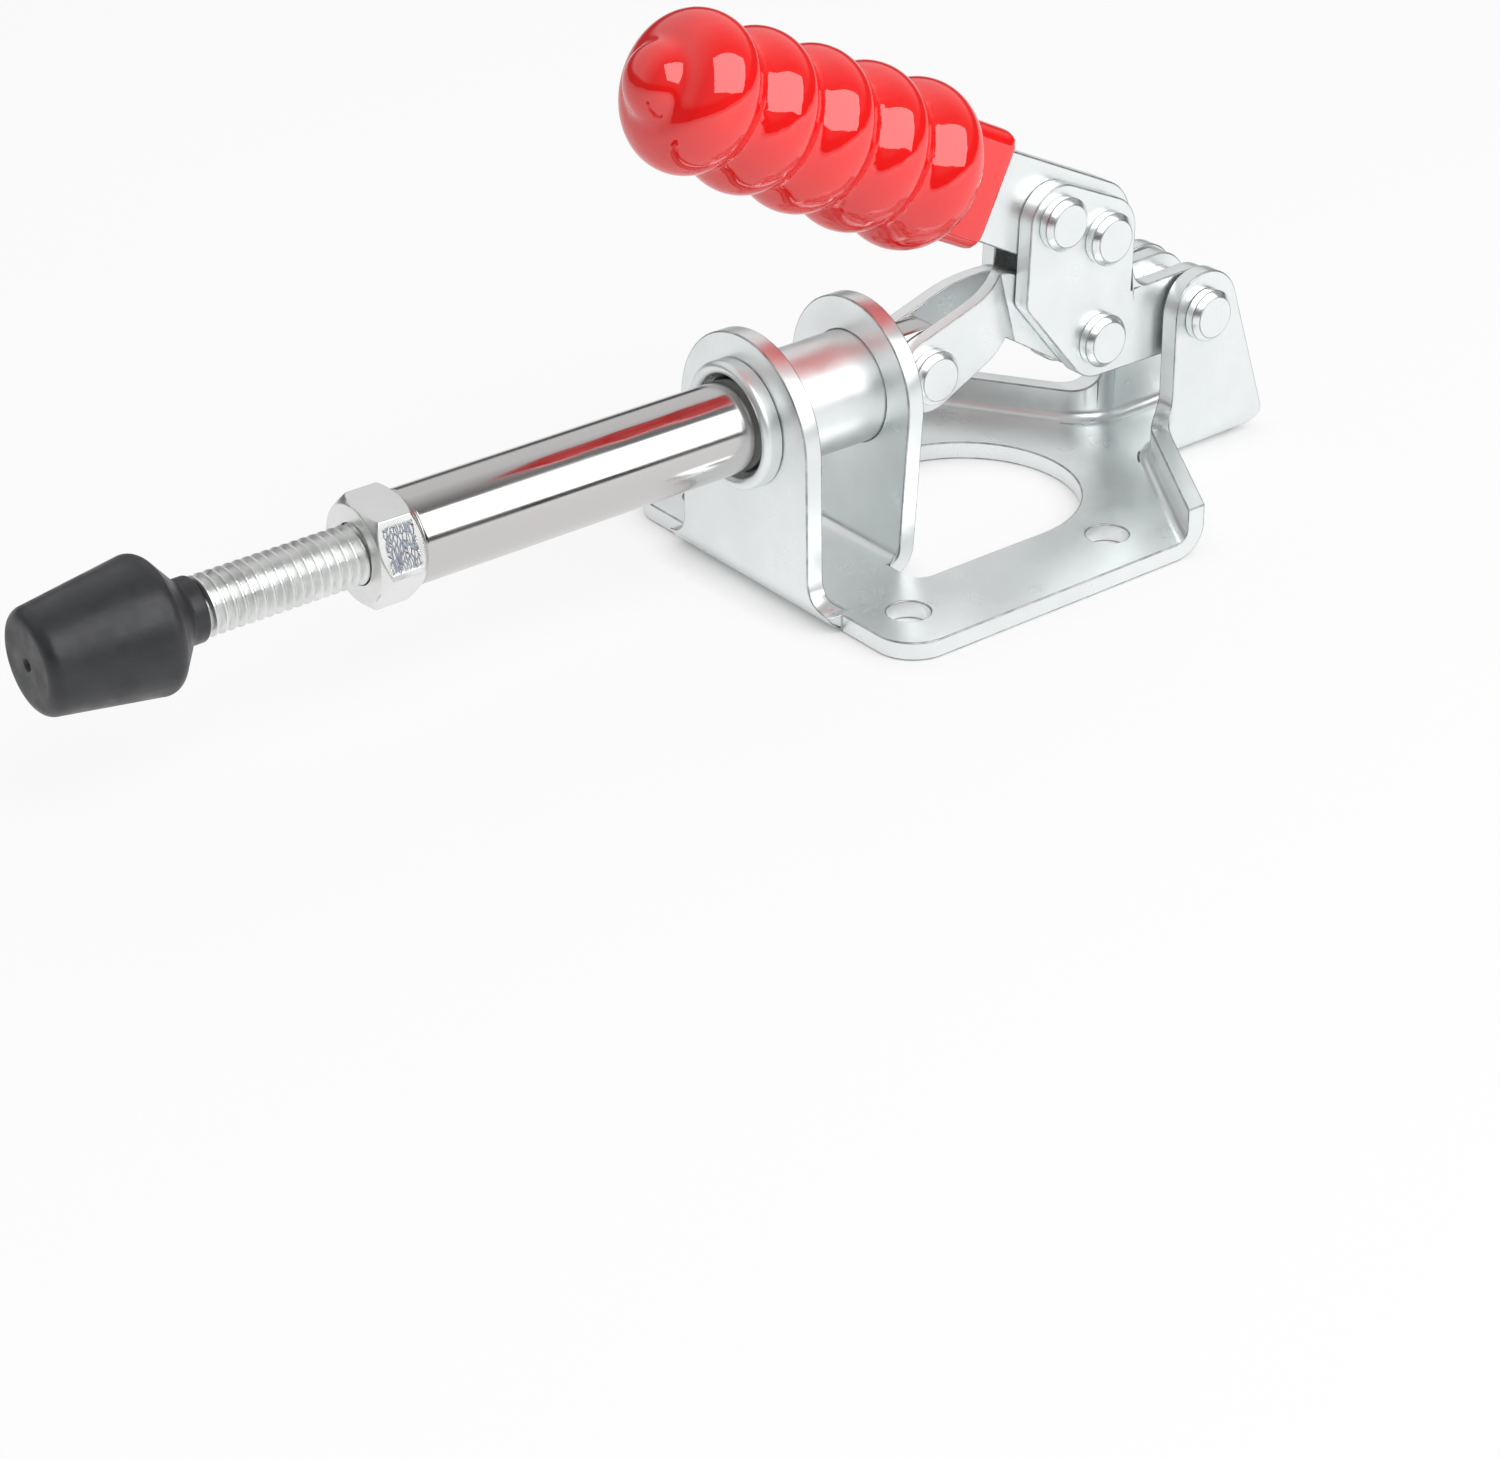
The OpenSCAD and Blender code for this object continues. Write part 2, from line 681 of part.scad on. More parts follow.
// Dipped grip: a flat collar, then a row of round bulges and a small nose
module grip() {
    core_r = grip_d / 2 - bulge_r + 2;
    color("red") difference() {
        union() {
            along_handle() translate([0, 0, grip_lead])
                linear_extrude(bulge_lead - grip_lead) collar_section();
            along_handle() rotate_extrude() intersection() {
                union() {
                    for (i = [0 : bulge_count - 1])
                        translate([grip_d / 2 - bulge_r - i * grip_taper / 2,
                            bulge_lead + i * bulge_pitch]) circle(bulge_r);
                    translate([0, nose_at]) circle(nose_r);
                    translate([0, bulge_lead])
                        square([core_r, last_bulge - bulge_lead]);
                }
                square([grip_d, nose_at + nose_r + 1]);
            }
        }
        bar_block();
    }
}

module collar_section() {
    w = bar_h + 2 * collar_wall;
    t = bar_t + 2 * collar_wall;
    corner = collar_edge_r;
    square([w - 2 * corner, t], center = true);
    square([w, t - 2 * corner], center = true);
    for (x = [-1, 1], y = [-1, 1])
        translate([x * (w / 2 - corner), y * (t / 2 - corner)]) circle(corner);
}

// Rivet along Y with a bevelled head on each end
module rivet(p, face) {
    cross_pin(p, rivet_d / 2, -face, face);
    both_sides() rivet_head(p, face);
}

module rivet_head(p, face) {
    r = rivet_head_d / 2;
    straight = rivet_head_h - rivet_bevel;
    translate([p.x, face, p.y]) rotate([-90, 0, 0]) {
        cylinder(r = r, h = straight);
        translate([0, 0, straight]) cylinder(r1 = r, r2 = r - rivet_bevel, h = rivet_bevel);
    }
}

module rivet_plunger() {
    color("silver") rivet(pivot_plunger, link_out);
}

module rivet_handle_front() {
    color("silver") rivet(bar_front, cheek_out);
}

module rivet_handle_rear() {
    color("silver") rivet(bar_rear, cheek_out);
}

// One short rivet in each cheek; between the cheeks this pivot is left open
module rivet_link() {
    color("silver") both_sides() {
        cross_pin(pivot_link, rivet_d / 2, cheek_in, cheek_out);
        rivet_head(pivot_link, cheek_out);
    }
}

// Spacer on the ears' rivet, between the two cheek arms
module pivot_bush() {
    color("silver") difference() {
        cross_pin(pivot_base, rivet_d / 2 + 1.1, -cheek_in + side_gap / 4, cheek_in - side_gap / 4);
        cross_pin(pivot_base, rivet_d / 2 + run_gap, -cheek_in, cheek_in);
    }
}

module rivet_base() {
    color("silver") rivet(pivot_base, ear_out + head_seat);
}

base();
guide_sleeve();
plunger();
spindle();
lock_nut();
rubber_cap();
link_near();
link_far();
rivet_plunger();
cheek_near();
cheek_far();
handle_bar();
grip();
rivet_handle_front();
rivet_handle_rear();
rivet_link();
pivot_bush();
rivet_base();
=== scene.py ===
import math

import bmesh
import bpy
from bpy.props import FloatProperty, FloatVectorProperty, IntProperty, PointerProperty
from mathutils import Matrix, Vector
from mathutils.bvhtree import BVHTree


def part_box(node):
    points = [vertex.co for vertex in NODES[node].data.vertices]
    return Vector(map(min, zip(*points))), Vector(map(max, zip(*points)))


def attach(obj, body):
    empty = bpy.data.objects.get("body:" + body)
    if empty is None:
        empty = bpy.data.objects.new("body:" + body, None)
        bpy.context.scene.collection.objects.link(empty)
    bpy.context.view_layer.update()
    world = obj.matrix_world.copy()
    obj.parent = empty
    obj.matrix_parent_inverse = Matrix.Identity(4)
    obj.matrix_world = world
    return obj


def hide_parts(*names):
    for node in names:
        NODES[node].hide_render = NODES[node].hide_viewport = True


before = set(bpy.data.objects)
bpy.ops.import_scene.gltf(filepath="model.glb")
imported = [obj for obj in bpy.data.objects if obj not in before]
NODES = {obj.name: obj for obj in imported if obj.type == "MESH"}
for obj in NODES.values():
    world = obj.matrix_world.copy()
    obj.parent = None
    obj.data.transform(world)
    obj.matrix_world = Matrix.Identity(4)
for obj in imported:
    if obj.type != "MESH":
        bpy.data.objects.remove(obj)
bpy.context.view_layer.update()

bl_info = {
    "name": "Push-pull toggle clamp",
    "version": (1, 0, 0),
    "blender": (4, 5, 0),
    "location": "3D View > Sidebar > Clamp",
    "description": "Dresses a push-pull toggle clamp and lights it on a pale floor",
    "category": "Object",
}

MM = 0.001


# Sizes and colours that a user may change

class ClampSizes(bpy.types.PropertyGroup):
    """Sizes of the forms that are modelled here"""
    thread_pitch: FloatProperty(
        name="Thread pitch", description="Distance between the spindle's threads",
        default=1.0 * MM, min=0.5 * MM, max=1.5 * MM, precision=5, unit="LENGTH")
    thread_depth: FloatProperty(
        name="Thread depth", description="Depth of the spindle's threads",
        default=0.55 * MM, min=0.2 * MM, max=0.8 * MM, precision=5, unit="LENGTH")
    thread_steps: IntProperty(
        name="Steps a turn", description="Facets in one turn of the thread",
        default=48, min=16, max=96)
    edge_round: FloatProperty(
        name="Sheet edges", description="Rounding along the edges of the base, sleeve, cheeks and bar",
        default=0.16 * MM, min=0.01 * MM, max=0.5 * MM, precision=5, unit="LENGTH")
    link_round: FloatProperty(
        name="Link edges", description="Rounding along the edges of the two links",
        default=0.128 * MM, min=0.01 * MM, max=0.5 * MM, precision=5, unit="LENGTH")
    rivet_round: FloatProperty(
        name="Rivet edges", description="Rounding along the edges of the rivets' heads",
        default=0.08 * MM, min=0.01 * MM, max=0.6 * MM, precision=5, unit="LENGTH")
    rod_round: FloatProperty(
        name="Rod edges", description="Rounding along the edges of the plunger",
        default=0.1 * MM, min=0.01 * MM, max=0.5 * MM, precision=5, unit="LENGTH")
    nut_round: FloatProperty(
        name="Nut edges", description="Rounding along the edges of the lock nut",
        default=0.12 * MM, min=0.01 * MM, max=0.5 * MM, precision=5, unit="LENGTH")
    cap_round: FloatProperty(
        name="Cap edges", description="Rounding along the edges of the rubber cap",
        default=0.3 * MM, min=0.01 * MM, max=1.0 * MM, precision=5, unit="LENGTH")
    collar_round: FloatProperty(
        name="Collar edges", description="Rounding along the edges of the grip's flat collar",
        default=0.1 * MM, min=0.01 * MM, max=0.5 * MM, precision=5, unit="LENGTH")
    skin_step: FloatProperty(
        name="Grip mesh", description="Size of the faces on the grip's skin",
        default=0.4 * MM, min=0.25 * MM, max=1.0 * MM, precision=5, unit="LENGTH")
    skin_flow: IntProperty(
        name="Grip flow", description="How far the dipped skin fills the valleys of the grip",
        default=14, min=0, max=60)
    nut_facet: FloatProperty(
        name="Stamped facet", description="Angle of the nut's stamped facet above the horizontal",
        default=math.radians(20.0), min=math.radians(-90.0), max=math.radians(90.0),
        unit="ROTATION")
    nut_flats: FloatProperty(
        name="Nut flats", description="Width of the nut across its flats",
        default=10.0 * MM, min=8 * MM, max=12 * MM, precision=5, unit="LENGTH")


class ClampFinish(bpy.types.PropertyGroup):
    """Colours and gloss of the finishes"""
    zinc_color: FloatVectorProperty(
        name="Zinc", description="Colour of the zinc-plated plates",
        subtype="COLOR", size=3, default=(0.90, 0.935, 0.935), min=0.0, max=1.0)
    zinc_rough: FloatProperty(
        name="Zinc roughness", description="Roughness of the zinc plating",
        default=0.31, min=0.0, max=1.0, subtype="FACTOR")
    # How dark the painted edge shade is against the plates' faces; on the plates it is partly the
    # sheared edge's duller tone
    edge_shade: FloatProperty(
        name="Edge shade", description="Brightness of sheared edges against the plates' faces",
        default=0.55, min=0.0, max=1.0, subtype="FACTOR")
    chrome_color: FloatVectorProperty(
        name="Chrome", description="Colour of the polished rod",
        subtype="COLOR", size=3, default=(0.61, 0.595, 0.59), min=0.0, max=1.0)
    steel_color: FloatVectorProperty(
        name="Thread steel", description="Colour of the spindle and the nut",
        subtype="COLOR", size=3, default=(0.82, 0.83, 0.82), min=0.0, max=1.0)
    groove_color: FloatVectorProperty(
        name="Stamped strokes", description="Colour at the bottom of the nut's stamped strokes",
        subtype="COLOR", size=3, default=(0.45, 0.50, 0.60), min=0.0, max=1.0)
    rubber_color: FloatVectorProperty(
        name="Rubber", description="Colour of the rubber cap",
        subtype="COLOR", size=3, default=(0.026, 0.027, 0.031), min=0.0, max=1.0)
    vinyl_color: FloatVectorProperty(
        name="Grip", description="Colour of the dipped vinyl grip",
        subtype="COLOR", size=3, default=(0.96, 0.014, 0.013), min=0.0, max=1.0)
    vinyl_rough: FloatProperty(
        name="Grip roughness", description="Roughness of the grip's skin",
        default=0.14, min=0.0, max=1.0, subtype="FACTOR")


class ClampStage(bpy.types.PropertyGroup):
    """Floor and light"""
    floor_color: FloatVectorProperty(
        name="Floor", description="Colour of the pale floor",
        subtype="COLOR", size=3, default=(0.95, 0.95, 0.95), min=0.0, max=1.0)
    floor_glow: FloatProperty(
        name="Floor glow", description="Share of plain white in the floor that the camera sees",
        default=0.85, min=0.0, max=1.0, subtype="FACTOR")
    softbox_power: FloatProperty(
        name="Softbox", description="Power of the large softbox in front",
        default=3.7, min=0.0, max=50.0, unit="POWER")
    softbox_width: FloatProperty(
        name="Softbox width", description="Width of the softbox",
        default=0.9, min=0.1, max=3.0, unit="LENGTH")
    softbox_height: FloatProperty(
        name="Softbox height", description="Height of the softbox",
        default=0.55, min=0.1, max=3.0, unit="LENGTH")
    softbox_distance: FloatProperty(
        name="Softbox distance", description="Distance from the clamp to the softbox",
        default=0.6, min=0.2, max=3.0, unit="LENGTH")
    room_strength: FloatProperty(
        name="Room light", description="Strength of the light from the room",
        default=1.0, min=0.0, max=3.0)
    camera_lens: FloatProperty(
        name="Lens", description="Focal length of the camera, in millimetres",
        default=82.42, min=10.0, max=300.0, unit="CAMERA")


# Helpers for pieces

def middle(node):
    low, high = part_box(node)
    return (low + high) / 2


def add_piece(name, mesh, body):
    """A new piece that moves with a body"""
    piece = bpy.data.objects.new(name, mesh)
    bpy.context.scene.collection.objects.link(piece)
    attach(piece, body)
    return piece


def wear(piece, material):
    piece.data.materials.clear()
    piece.data.materials.append(material)


# Helpers for materials

def wire(tree, source, target):
    tree.links.new(source, target)


def new_finish(name, color, metallic, rough):
    """A material with a principled shader; its noise nodes are added by the caller"""
    material = bpy.data.materials.new(name)
    material.use_nodes = True
    tree = material.node_tree
    shader = tree.nodes["Principled BSDF"]
    shader.inputs["Base Color"].default_value = (*color, 1.0)
    shader.inputs["Metallic"].default_value = metallic
    shader.inputs["Roughness"].default_value = rough
    return material, tree, shader


def noise(tree, scale, detail=3.0, rough=0.5, stretch=(1, 1, 1)):
    """Noise on object coordinates, in cells for each metre"""
    place = tree.nodes.new("ShaderNodeTexCoord")
    mapping = tree.nodes.new("ShaderNodeMapping")
    mapping.inputs["Scale"].default_value = stretch
    texture = tree.nodes.new("ShaderNodeTexNoise")
    texture.inputs["Scale"].default_value = scale
    texture.inputs["Detail"].default_value = detail
    texture.inputs["Roughness"].default_value = rough
    wire(tree, place.outputs["Object"], mapping.inputs["Vector"])
    wire(tree, mapping.outputs["Vector"], texture.inputs["Vector"])
    return texture.outputs["Fac"]


def spread(tree, value, low, high, start=0.35, end=0.65):
    """Maps the stretch of a value from start to end onto low to high; the rest is clamped"""
    node = tree.nodes.new("ShaderNodeMapRange")
    node.inputs["From Min"].default_value = start
    node.inputs["From Max"].default_value = end
    node.inputs["To Min"].default_value = low
    node.inputs["To Max"].default_value = high
    wire(tree, value, node.inputs["Value"])
    return node.outputs["Result"]


def math_node(tree, operation, *values):
    node = tree.nodes.new("ShaderNodeMath")
    node.operation = operation
    for socket, value in zip(node.inputs, values):
        if isinstance(value, (int, float)):
            socket.default_value = value
        else:
            wire(tree, value, socket)
    return node.outputs["Value"]


def shade(color, factor):
    return tuple(min(1.0, c * factor) for c in color)


def tinted(tree, shader, value, dark, light):
    """Blends the base colour from dark to light as the value goes from 0 to 1"""
    mix = tree.nodes.new("ShaderNodeMix")
    mix.data_type = "RGBA"
    mix.inputs["A"].default_value = (*dark, 1.0)
    mix.inputs["B"].default_value = (*light, 1.0)
    wire(tree, value, mix.inputs["Factor"])
    wire(tree, mix.outputs["Result"], shader.inputs["Base Color"])


def mottled(tree, shader, color, cloud, dark, light, start=0.35, end=0.65):
    """Varies the brightness of the base colour between two factors, by a noise"""
    tinted(tree, shader, spread(tree, cloud, 0.0, 1.0, start, end),
           shade(color, dark), shade(color, light))


def roughened(tree, shader, grain, low, high):
    """Varies the roughness between two values, by a noise"""
    wire(tree, spread(tree, grain, low, high), shader.inputs["Roughness"])


def bumped(tree, shader, value, distance, strength):
    bump = tree.nodes.new("ShaderNodeBump")
    bump.inputs["Strength"].default_value = strength
    bump.inputs["Distance"].default_value = distance
    wire(tree, value, bump.inputs["Height"])
    wire(tree, bump.outputs["Normal"], shader.inputs["Normal"])


# Finishes

def zinc_plating(name, rough_add=0.0):
    """Satin zinc: broad faint clouds, a fine grain and a slightly uneven gloss"""
    look = bpy.context.scene.clamp_finish
    color = tuple(look.zinc_color)
    rough = look.zinc_rough + rough_add
    material, tree, shader = new_finish(name, color, metallic=0.92, rough=rough)
    clouds = noise(tree, scale=110.0, detail=4.0, rough=0.6)
    mottled(tree, shader, color, clouds, dark=0.95, light=1.03, start=0.3, end=0.7)
    roughened(tree, shader, noise(tree, scale=260.0, detail=4.0), rough - 0.04, rough + 0.06)
    bumped(tree, shader, noise(tree, scale=420.0), distance=0.006 * MM, strength=0.5)
    return material


def painted_edge_shade():
    """Painted edge shade: a darker band on every rounded edge that stands in for the shade and dark
    reflections along the edges; on the plates it is partly the duller line that the press leaves along
    each edge. Plates and rivets share it
    """
    if "painted_edge_shade" in bpy.data.materials:
        return bpy.data.materials["painted_edge_shade"]
    # The colour is the zinc darkened by edge_shade: painted shade along the edges
    look = bpy.context.scene.clamp_finish
    color = shade(tuple(look.zinc_color), look.edge_shade)
    material, tree, shader = new_finish("painted_edge_shade", color, metallic=1.0, rough=0.4)
    streaks = noise(tree, scale=700.0)
    mottled(tree, shader, color, streaks, dark=0.7, light=1.3, start=0.3, end=0.7)
    roughened(tree, shader, noise(tree, scale=900.0), low=0.34, high=0.48)
    return material


def polished_chrome():
    """Mirror chrome with faint grinding lines round the rod"""
    look = bpy.context.scene.clamp_finish
    color = tuple(look.chrome_color)
    material, tree, shader = new_finish("polished_chrome", color, metallic=1.0, rough=0.12)
    haze = noise(tree, scale=700.0, stretch=(0.1, 1, 1))
    roughened(tree, shader, haze, low=0.10, high=0.16)
    grinding = noise(tree, scale=5000.0, detail=2.0, stretch=(1, 0.02, 0.02))
    bumped(tree, shader, grinding, distance=0.006 * MM, strength=0.5)
    return material


def thread_steel():
    """Bright zinc on the turned spindle"""
    look = bpy.context.scene.clamp_finish
    color = tuple(look.steel_color)
    material, tree, shader = new_finish("thread_steel", color, metallic=1.0, rough=0.35)
    mottled(tree, shader, color, noise(tree, scale=500.0), dark=0.9, light=1.05)
    roughened(tree, shader, noise(tree, scale=600.0), low=0.30, high=0.42)
    return material


def nut_steel(normal, along, centre):
    """Bright zinc with rough stamped strokes round centre, on the facet that faces normal"""
    look = bpy.context.scene.clamp_finish
    color = tuple(look.steel_color)
    material, tree, shader = new_finish("nut_steel", color, metallic=1.0, rough=0.28)
    place = tree.nodes.new("ShaderNodeTexCoord")

    def millimetres_along(direction):
        """Distance from the facet's middle"""
        node = tree.nodes.new("ShaderNodeVectorMath")
        node.operation = "DOT_PRODUCT"
        wire(tree, place.outputs["Object"], node.inputs[0])
        node.inputs[1].default_value = direction / MM
        return math_node(tree, "SUBTRACT", node.outputs["Value"], direction.dot(centre) / MM)

    def inside(distance, half):
        """1 up to half a field's width from its middle, 0 beyond, with a soft edge"""
        edge = math_node(tree, "SUBTRACT", half, math_node(tree, "ABSOLUTE", distance))
        return spread(tree, edge, low=0.0, high=1.0, start=0.0, end=0.25)

    lengthwise = millimetres_along(along)
    upwards = millimetres_along(normal.cross(along))
    on_facet = spread(tree, millimetres_along(normal), low=0.0, high=1.0, start=-0.06, end=-0.02)
    field = math_node(tree, "MULTIPLY", inside(lengthwise, half=1.7), inside(upwards, half=2.3))
    squeeze = tree.nodes.new("ShaderNodeCombineXYZ")
    cells_lengthwise, cells_upwards = 3.3, 1.2
    wire(tree, math_node(tree, "MULTIPLY", lengthwise, cells_lengthwise), squeeze.inputs["X"])
    wire(tree, math_node(tree, "MULTIPLY", upwards, cells_upwards), squeeze.inputs["Y"])
    strokes = tree.nodes.new("ShaderNodeTexVoronoi")
    strokes.feature = "DISTANCE_TO_EDGE"
    strokes.inputs["Scale"].default_value = 1.0
    wire(tree, squeeze.outputs["Vector"], strokes.inputs["Vector"])
    groove = spread(tree, strokes.outputs["Distance"], low=1.0, high=0.0, start=0.04, end=0.16)
    depth = math_node(tree, "MULTIPLY", groove, math_node(tree, "MULTIPLY", on_facet, field))
    tinted(tree, shader, depth, color, tuple(look.groove_color))
    roughened(tree, shader, noise(tree, scale=350.0), low=0.22, high=0.34)
    height = math_node(tree, "SUBTRACT", 1.0, depth)
    bumped(tree, shader, height, distance=0.12 * MM, strength=0.9)
    return material


def cap_rubber():
    """Matt black rubber with a fine grain"""
    look = bpy.context.scene.clamp_finish
    color = tuple(look.rubber_color)
    material, tree, shader = new_finish("cap_rubber", color, metallic=0.0, rough=0.42)
    mottled(tree, shader, color, noise(tree, scale=300.0), dark=0.85, light=1.25)
    roughened(tree, shader, noise(tree, scale=500.0), low=0.34, high=0.48)
    grain = noise(tree, scale=2600.0, detail=4.0)
    bumped(tree, shader, grain, distance=0.02 * MM, strength=0.5)
    return material


def grip_vinyl():
    """Red dipped vinyl: a smooth clear coat over a saturated, slightly wavy body"""
    look = bpy.context.scene.clamp_finish
    color = tuple(look.vinyl_color)
    rough = look.vinyl_rough
    material, tree, shader = new_finish("grip_vinyl", color, metallic=0.0, rough=rough)
    shader.inputs["Coat Weight"].default_value = 1.0
    shader.inputs["Coat Roughness"].default_value = 0.03
    shader.inputs["Coat IOR"].default_value = 1.85
    shader.inputs["Specular IOR Level"].default_value = 0.0
    mottled(tree, shader, color, noise(tree, scale=120.0), dark=0.96, light=1.03)
    roughened(tree, shader, noise(tree, scale=400.0), rough - 0.03, rough + 0.05)
    waves = noise(tree, scale=170.0, detail=1.5)
    bumped(tree, shader, waves, distance=0.12 * MM, strength=0.5)
    return material


# Pieces

SAME_POINT = 0.0004 * MM
SHORTEST_EDGE = 0.02 * MM
FLAT_ENOUGH = math.radians(0.5)
SPIKE_SHARE = 0.7


def rounded_copy(node, body, material, width, segments=2, angle=30.0, line=None):
    """A merged copy of a CAD node with softened edges, which stands for the node

    Edges that turn by more than angle degrees are rounded over width. The rounding wears line, a
    painted edge shade, where one is given.
    line, where one is given. A corner that the bevel throws out goes back to the CAD's skin.
    """
    mesh = NODES[node].data.copy()
    mesh.name = node + "_dressed"
    bm = bmesh.new()
    bm.from_mesh(mesh)
    bmesh.ops.remove_doubles(bm, verts=bm.verts, dist=SAME_POINT)
    skin = BVHTree.FromBMesh(bm)
    bmesh.ops.dissolve_degenerate(bm, dist=SHORTEST_EDGE, edges=bm.edges)
    bmesh.ops.dissolve_limit(bm, angle_limit=FLAT_ENOUGH, use_dissolve_boundaries=False,
                             verts=bm.verts, edges=bm.edges)
    sharp = [e for e in bm.edges
             if e.is_manifold and e.calc_face_angle(0.0) > math.radians(angle)]
    bmesh.ops.bevel(bm, geom=sharp, offset=width, offset_type="OFFSET", affect="EDGES",
                    segments=segments, profile=0.5, clamp_overlap=False, loop_slide=True,
                    material=1 if line else -1)
    for vert in bm.verts:
        nearest, _, _, apart = skin.find_nearest(vert.co)
        if apart > SPIKE_SHARE * width:
            vert.co = nearest
    for face in bm.faces:
        face.smooth = True
    mesh.materials.clear()
    for finish in (material, line) if line else (material,):
        mesh.materials.append(finish)
    bm.to_mesh(mesh)
    bm.free()
    piece = add_piece(node + "_dressed", mesh, body)
    normals = piece.modifiers.new("Normals", "WEIGHTED_NORMAL")
    normals.keep_sharp = True
    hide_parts(node)
    return piece


def helical_thread(start, end, radius, depth, pitch, steps, stud_start, axis):
    """A bar along X with a single-start thread from start to end, closed at both ends

    A plain stud runs from stud_start into the thread's core.
    """
    root = radius - depth
    stud_radius = 0.78 * radius
    crest_start, crest_end, root_start = 0.36 * pitch, 0.54 * pitch, 0.92 * pitch
    turns = math.ceil((end - start) / pitch) + 1
    seam, on_plane = 0.002 * MM, 0.01 * MM
    bm = bmesh.new()
    profile = [(0.0, root), (crest_start, radius), (crest_end, radius), (root_start, root),
               (pitch, root)]
    verts = [bm.verts.new((start - pitch + x, 0.0, z)) for x, z in profile]
    edges = [bm.edges.new(pair) for pair in zip(verts, verts[1:])]
    bmesh.ops.spin(bm, geom=verts + edges, cent=(0, 0, 0), axis=(1, 0, 0),
                   dvec=(pitch / steps, 0, 0), angle=2 * math.pi * turns,
                   steps=steps * turns, use_merge=False, use_duplicate=False)
    bmesh.ops.remove_doubles(bm, verts=bm.verts, dist=seam)
    for plane, outwards in ((start, -1), (end, 1)):
        bmesh.ops.bisect_plane(bm, geom=bm.verts[:] + bm.edges[:] + bm.faces[:],
                               plane_co=(plane, 0, 0), plane_no=(outwards, 0, 0),
                               clear_outer=True)
        rim = [e for e in bm.edges if e.is_boundary
               and all(abs(v.co.x - plane) < on_plane for v in e.verts)]
        bmesh.ops.edgeloop_fill(bm, edges=rim)
    stud_end = start + pitch
    bmesh.ops.create_cone(
        bm, cap_ends=True, cap_tris=False, segments=steps, radius1=stud_radius,
        radius2=stud_radius, depth=stud_end - stud_start,
        matrix=Matrix.Translation(((stud_end + stud_start) / 2, 0, 0))
        @ Matrix.Rotation(math.pi / 2, 4, "Y"))
    bmesh.ops.recalc_face_normals(bm, faces=bm.faces)
    bmesh.ops.translate(bm, verts=bm.verts, vec=(0, axis.y, axis.z))
    mesh = bpy.data.meshes.new("spindle_thread")
    bm.to_mesh(mesh)
    bm.free()
    return mesh


class CLAMP_OT_plates(bpy.types.Operator):
    """Give the sheet-metal parts and the sleeve rounded edges, zinc plating and a painted edge shade
    """
    bl_idname = "clamp.plates"
    bl_label = "Stamped plates"

    def execute(self, context):
        sizes = context.scene.clamp_sizes
        # edge is the painted edge shade that the rounded edges wear
        plating, edge = zinc_plating("zinc_plating"), painted_edge_shade()
        sleeve = zinc_plating("sleeve_plating", rough_add=0.08)
        for node, body, finish, width in (
                ("base", "base", plating, sizes.edge_round),
                ("guide_sleeve", "base", sleeve, sizes.edge_round),
                ("link_near", "links", plating, sizes.link_round),
                ("link_far", "links", plating, sizes.link_round),
                ("cheek_near", "handle", plating, sizes.edge_round),
                ("cheek_far", "handle", plating, sizes.edge_round),
                ("handle_bar", "handle", plating, sizes.edge_round)):
            rounded_copy(node, body, finish, width, line=edge)
        return {"FINISHED"}


class CLAMP_OT_rivets(bpy.types.Operator):
    """Round the rivets' heads, with a painted edge shade, and plate the bush between the cheeks"""
    bl_idname = "clamp.rivets"
    bl_label = "Rivets and bush"

    def execute(self, context):
        width = context.scene.clamp_sizes.rivet_round
        # edge is the painted edge shade that the rounded head edges wear
        steel, edge = zinc_plating("rivet_plating", rough_add=-0.08), painted_edge_shade()
        for node, body in (("rivet_base", "base"), ("rivet_plunger", "links"),
                           ("rivet_handle_front", "handle"), ("rivet_handle_rear", "handle"),
                           ("rivet_link", "handle")):
            rounded_copy(node, body, steel, width, segments=3, angle=25.0,
                         line=edge)
        wear(NODES["pivot_bush"], steel)
        return {"FINISHED"}


class CLAMP_OT_plunger(bpy.types.Operator):
    """Polish the plunger"""
    bl_idname = "clamp.plunger"
    bl_label = "Plunger"

    def execute(self, context):
        width = context.scene.clamp_sizes.rod_round
        rounded_copy("plunger", "plunger", polished_chrome(), width)
        return {"FINISHED"}


class CLAMP_OT_spindle(bpy.types.Operator):
    """Cut the spindle's thread and dress its nut"""
    bl_idname = "clamp.spindle"
    bl_label = "Spindle and nut"

    def execute(self, context):
        sizes = context.scene.clamp_sizes
        low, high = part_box("spindle")
        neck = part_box("rubber_cap")[1].x
        play = 0.02 * MM
        mesh = helical_thread(
            start=neck, end=high.x, radius=(high.z - low.z) / 2 - play,
            depth=sizes.thread_depth, pitch=sizes.thread_pitch, steps=sizes.thread_steps,
            stud_start=low.x, axis=middle("plunger"))
        piece = add_piece("spindle_thread", mesh, "spindle")
        wear(piece, thread_steel())
        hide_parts("spindle")
        normal = Vector((0.0, -math.cos(sizes.nut_facet), math.sin(sizes.nut_facet)))
        centre = middle("lock_nut") + normal * sizes.nut_flats / 2
        stamped = nut_steel(normal, Vector((1.0, 0.0, 0.0)), centre)
        rounded_copy("lock_nut", "nut", stamped, sizes.nut_round, angle=20.0)
        return {"FINISHED"}


class CLAMP_OT_cap(bpy.types.Operator):
    """Mould the rubber cap"""
    bl_idname = "clamp.cap"
    bl_label = "Rubber cap"

    def execute(self, context):
        width = context.scene.clamp_sizes.cap_round
        rounded_copy("rubber_cap", "spindle", cap_rubber(), width,
                     segments=3, angle=25.0)
        return {"FINISHED"}


